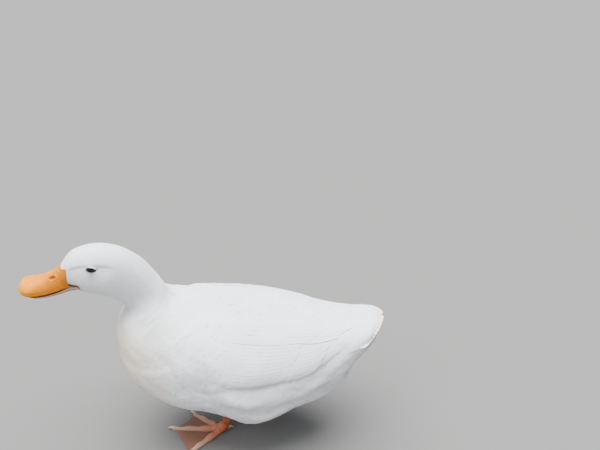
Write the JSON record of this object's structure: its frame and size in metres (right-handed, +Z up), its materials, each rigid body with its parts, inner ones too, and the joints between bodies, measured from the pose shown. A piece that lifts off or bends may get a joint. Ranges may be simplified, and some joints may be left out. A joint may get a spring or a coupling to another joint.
{
  "type": "german pekin duck",
  "caption": "Life-size still model of a white domestic duck with an orange bill and feet, standing low and level on both webbed feet with its wings folded.",
  "frame": {"origin": "on the floor, below the middle of the duck's bounding box", "axes": "+X towards the bill, +Y to the duck's left, +Z up"},
  "size_m": [0.4394, 0.1834, 0.2978],
  "materials": {
    "plumage": "white feathers",
    "bill": "orange horn with a soft sheen",
    "eye": "wet gloss",
    "foot": "scaled orange-red skin",
    "claw": "pale horn"
  },
  "bodies": {
    "root": {"torso": "plumage", "neck": "plumage", "head": "plumage", "tail": "plumage", "wing_left": "plumage", "wing_right": "plumage", "bill_upper": "bill", "bill_lower": "bill", "eye_left": "eye", "eye_right": "eye", "leg_left": "foot", "leg_right": "foot", "foot_left": "foot", "foot_right": "foot", "claw_left_inner": "claw", "claw_left_middle": "claw", "claw_left_outer": "claw", "claw_left_hind": "claw", "claw_right_inner": "claw", "claw_right_middle": "claw", "claw_right_outer": "claw", "claw_right_hind": "claw"}
  },
  "joints": []
}
